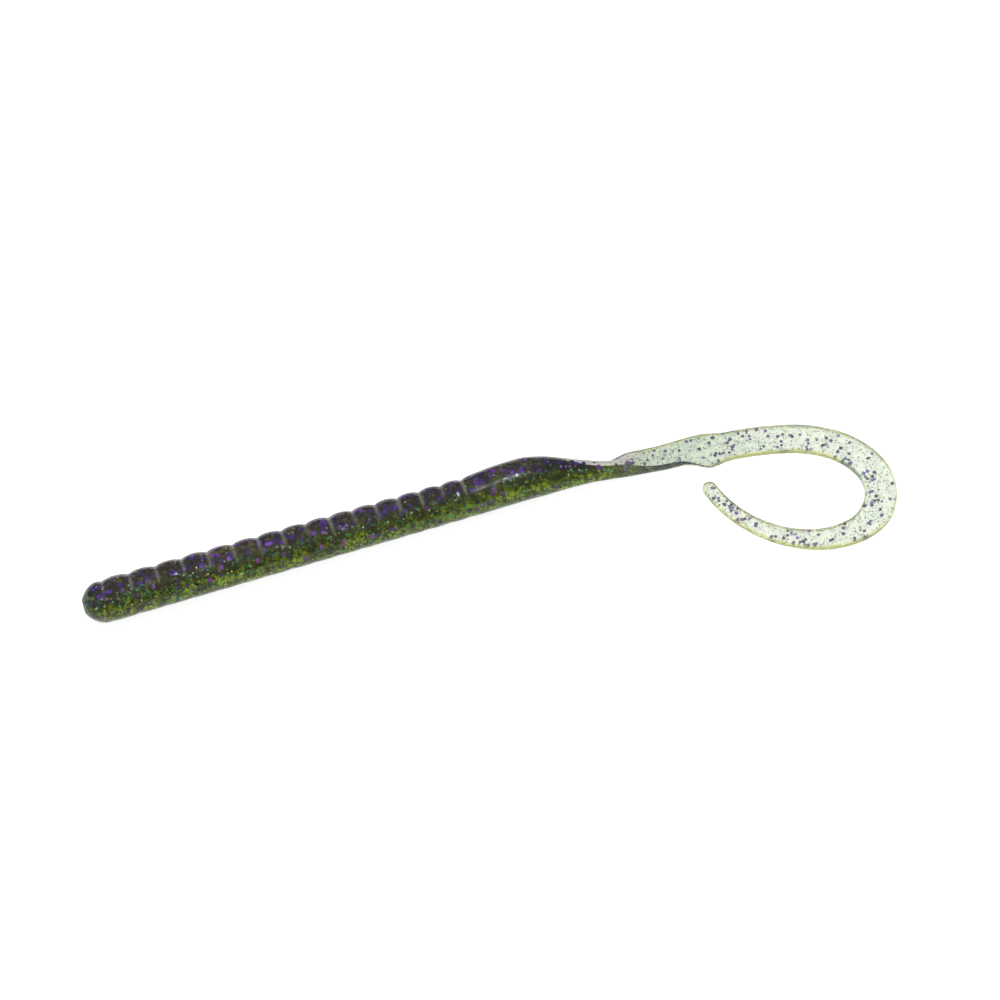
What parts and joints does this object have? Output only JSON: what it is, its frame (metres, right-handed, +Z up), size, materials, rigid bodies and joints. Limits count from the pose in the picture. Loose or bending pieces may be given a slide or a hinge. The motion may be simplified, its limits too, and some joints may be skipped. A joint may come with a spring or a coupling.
{
  "type": "soft plastic worm",
  "caption": "Soft plastic fishing worm with a ribbed round body, a smooth collar, a thin neck with a keel, and a flat curled ribbon tail; it bends along its whole length.",
  "frame": {"origin": "under the middle of the bounding box, on the surface that the worm lies on", "axes": "+X along the body from nose to tail, +Z up, square to the plane of the flat tail; the belly and the curl are towards -Y"},
  "size_m": [0.1698, 0.041, 0.0091],
  "materials": {
    "worm_body": "glossy translucent olive plastisol with purple and green flake",
    "worm_tail": "glossy clear pale green plastisol with purple and green flake"
  },
  "bodies": {
    "nose": {"nose": "worm_body"},
    "rib_01": {"rib_01": "worm_body"},
    "rib_02": {"rib_02": "worm_body"},
    "rib_03": {"rib_03": "worm_body"},
    "rib_04": {"rib_04": "worm_body"},
    "rib_05": {"rib_05": "worm_body"},
    "rib_06": {"rib_06": "worm_body"},
    "rib_07": {"rib_07": "worm_body"},
    "rib_08": {"rib_08": "worm_body"},
    "rib_09": {"rib_09": "worm_body"},
    "rib_10": {"rib_10": "worm_body"},
    "rib_11": {"rib_11": "worm_body"},
    "rib_12": {"rib_12": "worm_body"},
    "rib_13": {"rib_13": "worm_body"},
    "rib_14": {"rib_14": "worm_body"},
    "rib_15": {"rib_15": "worm_body"},
    "collar_1": {"collar_1": "worm_body"},
    "collar_2": {"collar_2": "worm_body"},
    "collar_3": {"collar_3": "worm_body"},
    "collar_4": {"collar_4": "worm_body"},
    "collar_5": {"collar_5": "worm_body"},
    "neck": {"neck": "worm_body"},
    "keel_1": {"keel_1": "worm_tail"},
    "keel_2": {"keel_2": "worm_tail"},
    "ribbon_01": {"ribbon_01": "worm_tail"},
    "ribbon_02": {"ribbon_02": "worm_tail"},
    "ribbon_03": {"ribbon_03": "worm_tail"},
    "ribbon_04": {"ribbon_04": "worm_tail"},
    "ribbon_05": {"ribbon_05": "worm_tail"},
    "ribbon_06": {"ribbon_06": "worm_tail"},
    "ribbon_07": {"ribbon_07": "worm_tail"},
    "ribbon_08": {"ribbon_08": "worm_tail"},
    "ribbon_09": {"ribbon_09": "worm_tail"},
    "ribbon_10": {"ribbon_10": "worm_tail"}
  },
  "joints": [
    {"name": "front_sway_1", "type": "hinge", "parent": "nose", "child": "rib_01", "pos_m": [-0.07989, 0.01599, 0.00454], "axis": [0.0004, 0.0003, 1], "range_deg": [-12, 12], "stiffness_Nm_per_rad": 0.0045},
    {"name": "front_nod_1", "type": "hinge", "parent": "rib_01", "child": "rib_02", "pos_m": [-0.07409, 0.01597, 0.00452], "axis": [0.0004, -1, 0.0003], "range_deg": [-12, 12], "stiffness_Nm_per_rad": 0.0045},
    {"name": "front_sway_2", "type": "hinge", "parent": "rib_02", "child": "rib_03", "pos_m": [-0.06837, 0.01594, 0.00449], "axis": [0.0004, 0.0003, 1], "range_deg": [-12, 12], "stiffness_Nm_per_rad": 0.0045},
    {"name": "front_nod_2", "type": "hinge", "parent": "rib_03", "child": "rib_04", "pos_m": [-0.06274, 0.01592, 0.00447], "axis": [0.0004, -1, 0.0003], "range_deg": [-12, 12], "stiffness_Nm_per_rad": 0.0045},
    {"name": "front_sway_3", "type": "hinge", "parent": "rib_04", "child": "rib_05", "pos_m": [-0.0572, 0.0159, 0.00445], "axis": [0.0004, 0.0003, 1], "range_deg": [-12, 12], "stiffness_Nm_per_rad": 0.0045},
    {"name": "front_nod_3", "type": "hinge", "parent": "rib_05", "child": "rib_06", "pos_m": [-0.05174, 0.01587, 0.00442], "axis": [0.0004, -1, 0.0003], "range_deg": [-12, 12], "stiffness_Nm_per_rad": 0.0045},
    {"name": "front_sway_4", "type": "hinge", "parent": "rib_06", "child": "rib_07", "pos_m": [-0.04637, 0.01585, 0.0044], "axis": [0.0004, 0.0003, 1], "range_deg": [-12, 12], "stiffness_Nm_per_rad": 0.0045},
    {"name": "middle_nod_1", "type": "hinge", "parent": "rib_07", "child": "rib_08", "pos_m": [-0.04109, 0.01583, 0.00438], "axis": [0.0004, -1, 0.0003], "range_deg": [-12, 12], "stiffness_Nm_per_rad": 0.0045},
    {"name": "middle_sway_1", "type": "hinge", "parent": "rib_08", "child": "rib_09", "pos_m": [-0.03589, 0.01581, 0.00436], "axis": [0.0004, 0.0003, 1], "range_deg": [-12, 12], "stiffness_Nm_per_rad": 0.0045},
    {"name": "middle_nod_2", "type": "hinge", "parent": "rib_09", "child": "rib_10", "pos_m": [-0.03077, 0.01579, 0.00434], "axis": [0.0004, -1, 0.0003], "range_deg": [-12, 12], "stiffness_Nm_per_rad": 0.0045},
    {"name": "middle_sway_2", "type": "hinge", "parent": "rib_10", "child": "rib_11", "pos_m": [-0.02574, 0.01576, 0.00432], "axis": [0.0004, 0.0003, 1], "range_deg": [-12, 12], "stiffness_Nm_per_rad": 0.0045},
    {"name": "middle_nod_3", "type": "hinge", "parent": "rib_11", "child": "rib_12", "pos_m": [-0.0208, 0.01574, 0.0043], "axis": [0.0004, -1, 0.0003], "range_deg": [-12, 12], "stiffness_Nm_per_rad": 0.0045},
    {"name": "middle_sway_3", "type": "hinge", "parent": "rib_12", "child": "rib_13", "pos_m": [-0.01594, 0.01572, 0.00428], "axis": [0.0004, 0.0003, 1], "range_deg": [-12, 12], "stiffness_Nm_per_rad": 0.0045},
    {"name": "middle_nod_4", "type": "hinge", "parent": "rib_13", "child": "rib_14", "pos_m": [-0.01117, 0.0157, 0.00426], "axis": [0.0004, -1, 0.0003], "range_deg": [-12, 12], "stiffness_Nm_per_rad": 0.0045},
    {"name": "rear_sway_1", "type": "hinge", "parent": "rib_14", "child": "rib_15", "pos_m": [-0.00649, 0.01568, 0.00424], "axis": [0.0004, 0.0003, 1], "range_deg": [-12, 12], "stiffness_Nm_per_rad": 0.0045},
    {"name": "rear_nod_1", "type": "hinge", "parent": "rib_15", "child": "collar_1", "pos_m": [-0.00189, 0.01566, 0.00422], "axis": [0.0004, -1, 0.0003], "range_deg": [-12, 12], "stiffness_Nm_per_rad": 0.0045},
    {"name": "rear_sway_2", "type": "hinge", "parent": "collar_1", "child": "collar_2", "pos_m": [0.00461, 0.01566, 0.00422], "axis": [0.0004, 0.0003, 1], "range_deg": [-12, 12], "stiffness_Nm_per_rad": 0.004},
    {"name": "rear_nod_2", "type": "hinge", "parent": "collar_2", "child": "collar_3", "pos_m": [0.01111, 0.01566, 0.00422], "axis": [0.0004, -1, 0.0003], "range_deg": [-12, 12], "stiffness_Nm_per_rad": 0.004},
    {"name": "rear_sway_3", "type": "hinge", "parent": "collar_3", "child": "collar_4", "pos_m": [0.01761, 0.01502, 0.00415], "axis": [0.0004, 0.0003, 1], "range_deg": [-12, 12], "stiffness_Nm_per_rad": 0.002},
    {"name": "neck_nod_1", "type": "hinge", "parent": "collar_4", "child": "collar_5", "pos_m": [0.02411, 0.01393, 0.00348], "axis": [0.0004, -1, 0.0003], "range_deg": [-12, 12], "stiffness_Nm_per_rad": 0.0006},
    {"name": "neck_sway_1", "type": "hinge", "parent": "collar_5", "child": "neck", "pos_m": [0.03061, 0.01309, 0.00242], "axis": [0.0004, 0.0003, 1], "range_deg": [-12, 12], "stiffness_Nm_per_rad": 0.00015},
    {"name": "neck_nod_2", "type": "hinge", "parent": "neck", "child": "keel_1", "pos_m": [0.03511, 0.01374, 0.00169], "axis": [0.0004, -1, 0.0003], "range_deg": [-12, 12], "stiffness_Nm_per_rad": 0.00003},
    {"name": "neck_sway_2", "type": "hinge", "parent": "keel_1", "child": "keel_2", "pos_m": [0.04211, 0.01356, 0.00098], "axis": [0.0004, 0.0003, 1], "range_deg": [-12, 12], "stiffness_Nm_per_rad": 0.00014},
    {"name": "flap_1", "type": "hinge", "parent": "keel_2", "child": "ribbon_01", "pos_m": [0.04911, 0.01211, 0.0008], "axis": [0, -1, 0], "range_deg": [-15, 15], "stiffness_Nm_per_rad": 0.00002},
    {"name": "curl_1", "type": "hinge", "parent": "ribbon_01", "child": "ribbon_02", "pos_m": [0.05842, 0.01138, 0.0008], "axis": [0.0004, 0.0003, -1], "range_deg": [-30, 1], "stiffness_Nm_per_rad": 0.00027},
    {"name": "flap_2", "type": "hinge", "parent": "ribbon_02", "child": "ribbon_03", "pos_m": [0.06751, 0.0092, 0.0008], "axis": [-0.309, -0.9511, 0], "range_deg": [-15, 15], "stiffness_Nm_per_rad": 0.00002},
    {"name": "curl_2", "type": "hinge", "parent": "ribbon_03", "child": "ribbon_04", "pos_m": [0.07563, 0.0047, 0.0008], "axis": [0.0004, 0.0003, -1], "range_deg": [-30, 1], "stiffness_Nm_per_rad": 0.00021},
    {"name": "flap_3", "type": "hinge", "parent": "ribbon_04", "child": "ribbon_05", "pos_m": [0.08087, -0.00292, 0.0008], "axis": [-0.9455, -0.3256, 0], "range_deg": [-15, 15], "stiffness_Nm_per_rad": 0.00002},
    {"name": "curl_3", "type": "hinge", "parent": "ribbon_05", "child": "ribbon_06", "pos_m": [0.08031, -0.01201, 0.0008], "axis": [0.0004, 0.0003, -1], "range_deg": [-30, 1], "stiffness_Nm_per_rad": 0.00015},
    {"name": "flap_4", "type": "hinge", "parent": "ribbon_06", "child": "ribbon_07", "pos_m": [0.07315, -0.0175, 0.0008], "axis": [-0.1908, 0.9816, 0], "range_deg": [-15, 15], "stiffness_Nm_per_rad": 0.00002},
    {"name": "curl_4", "type": "hinge", "parent": "ribbon_07", "child": "ribbon_08", "pos_m": [0.06395, -0.01678, 0.0008], "axis": [0.0004, 0.0003, -1], "range_deg": [-30, 1], "stiffness_Nm_per_rad": 0.00009},
    {"name": "flap_5", "type": "hinge", "parent": "ribbon_08", "child": "ribbon_09", "pos_m": [0.05603, -0.01193, 0.0008], "axis": [0.682, 0.7314, 0], "range_deg": [-15, 15], "stiffness_Nm_per_rad": 0.00002},
    {"name": "curl_5", "type": "hinge", "parent": "ribbon_09", "child": "ribbon_10", "pos_m": [0.05036, -0.00454, 0.0008], "axis": [0.0004, 0.0003, -1], "range_deg": [-30, 1], "stiffness_Nm_per_rad": 0.00003}
  ],
  "couplings": [
    {"joint": "front_sway_2", "follows": "front_sway_1", "ratio": 1},
    {"joint": "front_nod_2", "follows": "front_nod_1", "ratio": 1},
    {"joint": "front_sway_3", "follows": "front_sway_1", "ratio": 1},
    {"joint": "front_nod_3", "follows": "front_nod_1", "ratio": 1},
    {"joint": "front_sway_4", "follows": "front_sway_1", "ratio": 1},
    {"joint": "middle_nod_2", "follows": "middle_nod_1", "ratio": 1},
    {"joint": "middle_sway_2", "follows": "middle_sway_1", "ratio": 1},
    {"joint": "middle_nod_3", "follows": "middle_nod_1", "ratio": 1},
    {"joint": "middle_sway_3", "follows": "middle_sway_1", "ratio": 1},
    {"joint": "middle_nod_4", "follows": "middle_nod_1", "ratio": 1},
    {"joint": "rear_sway_2", "follows": "rear_sway_1", "ratio": 1},
    {"joint": "rear_nod_2", "follows": "rear_nod_1", "ratio": 1},
    {"joint": "rear_sway_3", "follows": "rear_sway_1", "ratio": 1},
    {"joint": "neck_nod_2", "follows": "neck_nod_1", "ratio": 1},
    {"joint": "neck_sway_2", "follows": "neck_sway_1", "ratio": 1},
    {"joint": "flap_2", "follows": "flap_1", "ratio": 1},
    {"joint": "curl_2", "follows": "curl_1", "ratio": 1},
    {"joint": "flap_3", "follows": "flap_1", "ratio": 1},
    {"joint": "curl_3", "follows": "curl_1", "ratio": 1},
    {"joint": "flap_4", "follows": "flap_1", "ratio": 1},
    {"joint": "curl_4", "follows": "curl_1", "ratio": 1},
    {"joint": "flap_5", "follows": "flap_1", "ratio": 1},
    {"joint": "curl_5", "follows": "curl_1", "ratio": 1}
  ]
}
